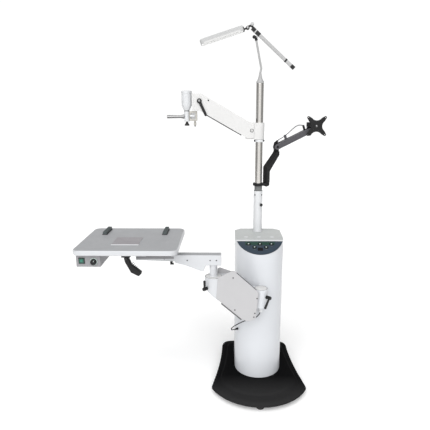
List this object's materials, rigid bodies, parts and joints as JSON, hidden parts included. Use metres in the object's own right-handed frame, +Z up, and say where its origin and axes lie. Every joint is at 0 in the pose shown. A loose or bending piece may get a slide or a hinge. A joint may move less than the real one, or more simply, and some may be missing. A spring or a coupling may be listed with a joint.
{
  "type": "ophthalmic refraction stand",
  "caption": "Column stand on a bell-shaped base with a swinging instrument table, pole-mounted phoropter arm, reading lamp and monitor arm.",
  "frame": {"origin": "centre of the whole object's box at floor level; the column's axis is 0.256 m to +X of it", "axes": "+Z up; -Y towards the keypad's user; the instrument table reaches to -X"},
  "size_m": [1.3564, 0.7289, 2.018],
  "materials": {
    "white_enamel": "satin",
    "white_alloy": "white enamel, satin",
    "cover_enamel": "light grey enamel, satin",
    "grey_top": "fine texture",
    "base_black": "gloss black enamel",
    "black_plastic": "satin",
    "foot_rubber": "matt",
    "keypad_slate": "satin",
    "key_black": "satin",
    "brushed_steel": "brushed",
    "chrome": "polished",
    "lamp_grey": "satin",
    "clamp_beige": "satin",
    "arm_dark_grey": "satin",
    "arm_black": "black enamel, satin",
    "lamp_white": "satin",
    "rocker_green": "gloss",
    "control_grey": "satin",
    "strip_grey": "satin"
  },
  "bodies": {
    "stand": {"base_casting": "base_black", "levelling_foot_front": "foot_rubber", "levelling_foot_front_left": "foot_rubber", "levelling_foot_front_right": "foot_rubber", "levelling_foot_rear_left": "foot_rubber", "levelling_foot_rear_right": "foot_rubber", "column_shell": "white_enamel", "column_rear_cover": "white_enamel", "column_top_cap": "grey_top", "keypad_panel": "keypad_slate", "pole_socket": "white_enamel", "steel_pole": "brushed_steel", "pole_top_cap": "lamp_grey", "monitor_clamp": "arm_black", "hub_bracket": "white_enamel", "lead_gland": "black_plastic", "lift_lead": "black_plastic"},
    "key_1": {"key_1": "key_black"},
    "key_2": {"key_2": "key_black"},
    "key_3": {"key_3": "key_black"},
    "key_4": {"key_4": "key_black"},
    "key_5": {"key_5": "key_black"},
    "pole_lock_knob": {"pole_lock_knob": "black_plastic"},
    "phoropter_hub": {"arm_hub": "white_alloy"},
    "phoropter_arm": {"arm_front_cover": "white_alloy", "arm_rear_cover": "white_alloy", "arm_spring_tube": "arm_dark_grey"},
    "phoropter_head": {"arm_head_block": "white_alloy", "head_barrel": "white_alloy"},
    "phoropter_spindle": {"head_spindle": "white_alloy", "phoropter_rod": "chrome", "rod_clamp": "clamp_beige"},
    "cone_knob": {"cone_knob": "black_plastic"},
    "lock_lever": {"lock_lever": "black_plastic"},
    "lamp_stem": {"lamp_stem": "lamp_grey"},
    "lamp_arm": {"lamp_arm": "lamp_grey"},
    "lamp_head": {"lamp_shade": "lamp_white"},
    "monitor_lower": {"monitor_lower_arm": "arm_black"},
    "monitor_elbow": {"monitor_elbow": "arm_black"},
    "monitor_upper": {"monitor_upper_arm": "arm_dark_grey", "monitor_cable": "black_plastic"},
    "monitor_wrist": {"monitor_wrist": "arm_black"},
    "vesa_bracket": {"vesa_bracket": "arm_black"},
    "vesa_plate": {"vesa_plate": "arm_black"},
    "swing_hub": {"swing_hub": "white_alloy"},
    "hub_clamp_lever": {"hub_clamp_lever": "black_plastic"},
    "lift_arm": {"lift_front_cover": "cover_enamel", "lift_rear_cover": "cover_enamel", "lift_bottom_plate": "arm_dark_grey"},
    "table_knuckle": {"table_knuckle": "white_alloy"},
    "knuckle_clamp_lever": {"knuckle_clamp_lever": "black_plastic"},
    "table_arm": {"table_arm": "white_alloy"},
    "table": {"table_carriage": "arm_black", "table_top": "grey_top", "rail_strip_left": "strip_grey", "rail_strip_right": "strip_grey", "control_box": "control_grey"},
    "rocker_switch": {"rocker_switch": "rocker_green"},
    "dimmer_knob": {"dimmer_knob": "black_plastic"},
    "release_lever": {"release_lever": "black_plastic"}
  },
  "joints": [
    {"name": "key_1_press", "type": "slide", "parent": "stand", "child": "key_1", "axis": [0, 0.4587, -0.8886], "range_m": [0, 0.0002], "stiffness_N_per_m": 800},
    {"name": "key_2_press", "type": "slide", "parent": "stand", "child": "key_2", "axis": [0, 0.4587, -0.8886], "range_m": [0, 0.0002], "stiffness_N_per_m": 800},
    {"name": "key_3_press", "type": "slide", "parent": "stand", "child": "key_3", "axis": [0, 0.4587, -0.8886], "range_m": [0, 0.0002], "stiffness_N_per_m": 800},
    {"name": "key_4_press", "type": "slide", "parent": "stand", "child": "key_4", "axis": [0, 0.4587, -0.8886], "range_m": [0, 0.0002], "stiffness_N_per_m": 800},
    {"name": "key_5_press", "type": "slide", "parent": "stand", "child": "key_5", "axis": [0, 0.4587, -0.8886], "range_m": [0, 0.0002], "stiffness_N_per_m": 800},
    {"name": "pole_lock_turn", "type": "hinge", "parent": "stand", "child": "pole_lock_knob", "pos_m": [0.28, 0.13174, 1.04], "axis": [0.5, -0.866, 0], "range_deg": [-180, 180]},
    {"name": "phoropter_swivel", "type": "hinge", "parent": "stand", "child": "phoropter_hub", "pos_m": [0.2668, 0.1546, 1.463], "axis": [0, 0, 1], "range_deg": [-60, 95]},
    {"name": "phoropter_lift", "type": "hinge", "parent": "phoropter_hub", "child": "phoropter_arm", "pos_m": [0.2168, 0.1546, 1.465], "axis": [0, 1, 0], "range_deg": [-18, 12]},
    {"name": "phoropter_level", "type": "hinge", "parent": "phoropter_arm", "child": "phoropter_head", "pos_m": [-0.0696, 0.1546, 1.629], "axis": [0, 1, 0], "range_deg": [-12, 18]},
    {"name": "phoropter_turn", "type": "hinge", "parent": "phoropter_head", "child": "phoropter_spindle", "pos_m": [-0.1428, 0.1546, 1.58], "axis": [0, 0, 1], "range_deg": [-60, 60]},
    {"name": "cone_knob_turn", "type": "hinge", "parent": "phoropter_spindle", "child": "cone_knob", "pos_m": [-0.1428, 0.1546, 1.505], "axis": [0, 0, 1], "range_deg": [-180, 180]},
    {"name": "lock_lever_turn", "type": "hinge", "parent": "phoropter_head", "child": "lock_lever", "pos_m": [-0.0696, 0.1171, 1.629], "axis": [0, 1, 0], "range_deg": [-40, 40]},
    {"name": "lamp_swivel", "type": "hinge", "parent": "stand", "child": "lamp_stem", "pos_m": [0.2668, 0.1546, 1.78], "axis": [0, 0, 1], "range_deg": [-170, 170]},
    {"name": "lamp_arm_tilt", "type": "hinge", "parent": "lamp_stem", "child": "lamp_arm", "pos_m": [0.2408, 0.1546, 1.957], "axis": [0, 1, 0], "range_deg": [-25, 20]},
    {"name": "lamp_head_tilt", "type": "hinge", "parent": "lamp_arm", "child": "lamp_head", "pos_m": [0.1948, 0.1546, 2.008], "axis": [0, 1, 0], "range_deg": [-45, 60]},
    {"name": "monitor_swivel", "type": "hinge", "parent": "stand", "child": "monitor_lower", "pos_m": [0.3128, 0.1546, 1.166], "axis": [0, 0, 1], "range_deg": [-90, 60]},
    {"name": "monitor_elbow_swivel", "type": "hinge", "parent": "monitor_lower", "child": "monitor_elbow", "pos_m": [0.3748, 0.2346, 1.367], "axis": [0, 0, 1], "range_deg": [-90, 90]},
    {"name": "monitor_lift", "type": "hinge", "parent": "monitor_elbow", "child": "monitor_upper", "pos_m": [0.3748, 0.2346, 1.367], "axis": [0.4675, -0.884, 0], "range_deg": [-20, 20]},
    {"name": "monitor_level", "type": "hinge", "parent": "monitor_upper", "child": "monitor_wrist", "pos_m": [0.5828, 0.3446, 1.455], "axis": [0.4675, -0.884, 0], "range_deg": [-20, 20]},
    {"name": "vesa_swivel", "type": "hinge", "parent": "monitor_wrist", "child": "vesa_bracket", "pos_m": [0.5828, 0.3446, 1.4785], "axis": [0, 0, 1], "range_deg": [-12, 45]},
    {"name": "vesa_tilt", "type": "hinge", "parent": "vesa_bracket", "child": "vesa_plate", "pos_m": [0.6198, 0.3186, 1.4836], "axis": [1, 0, 0], "range_deg": [-12, 10]},
    {"name": "lift_arm_swivel", "type": "hinge", "parent": "stand", "child": "swing_hub", "pos_m": [0.2668, -0.1854, 0.6], "axis": [0, 0, 1], "range_deg": [0, 80]},
    {"name": "hub_clamp_turn", "type": "hinge", "parent": "swing_hub", "child": "hub_clamp_lever", "pos_m": [0.294, -0.20989, 0.612], "axis": [0.7431, -0.6691, 0], "range_deg": [-40, 20]},
    {"name": "lift_arm_lift", "type": "hinge", "parent": "swing_hub", "child": "lift_arm", "pos_m": [0.2168, -0.1854, 0.608], "axis": [0, 1, 0], "range_deg": [-10, 10]},
    {"name": "knuckle_level", "type": "hinge", "parent": "lift_arm", "child": "table_knuckle", "pos_m": [0.08902, -0.1854, 0.70429], "axis": [0, 1, 0], "range_deg": [-10, 10]},
    {"name": "knuckle_clamp_turn", "type": "hinge", "parent": "table_knuckle", "child": "knuckle_clamp_lever", "pos_m": [-0.0202, -0.2187, 0.664], "axis": [-0.7071, -0.7071, 0], "range_deg": [-20, 40]},
    {"name": "table_arm_swivel", "type": "hinge", "parent": "table_knuckle", "child": "table_arm", "pos_m": [0.0131, -0.1854, 0.75], "axis": [0, 0, 1], "range_deg": [-40, 120]},
    {"name": "table_slide", "type": "slide", "parent": "table_arm", "child": "table", "axis": [1, 0, 0], "range_m": [-0.05, 0.05]},
    {"name": "rocker_tilt", "type": "hinge", "parent": "table", "child": "rocker_switch", "pos_m": [-0.6312, -0.3464, 0.8595], "axis": [1, 0, 0], "range_deg": [-4, 4]},
    {"name": "dimmer_turn", "type": "hinge", "parent": "table", "child": "dimmer_knob", "pos_m": [-0.5718, -0.3454, 0.855], "axis": [0, -1, 0], "range_deg": [-135, 135]},
    {"name": "release_lever_turn", "type": "hinge", "parent": "table", "child": "release_lever", "pos_m": [-0.4245, -0.2754, 0.8488], "axis": [0, 1, 0], "range_deg": [-35, 20]}
  ],
  "couplings": [
    {"joint": "phoropter_level", "follows": "phoropter_lift", "ratio": -1},
    {"joint": "monitor_level", "follows": "monitor_lift", "ratio": -1},
    {"joint": "knuckle_level", "follows": "lift_arm_lift", "ratio": -1}
  ]
}
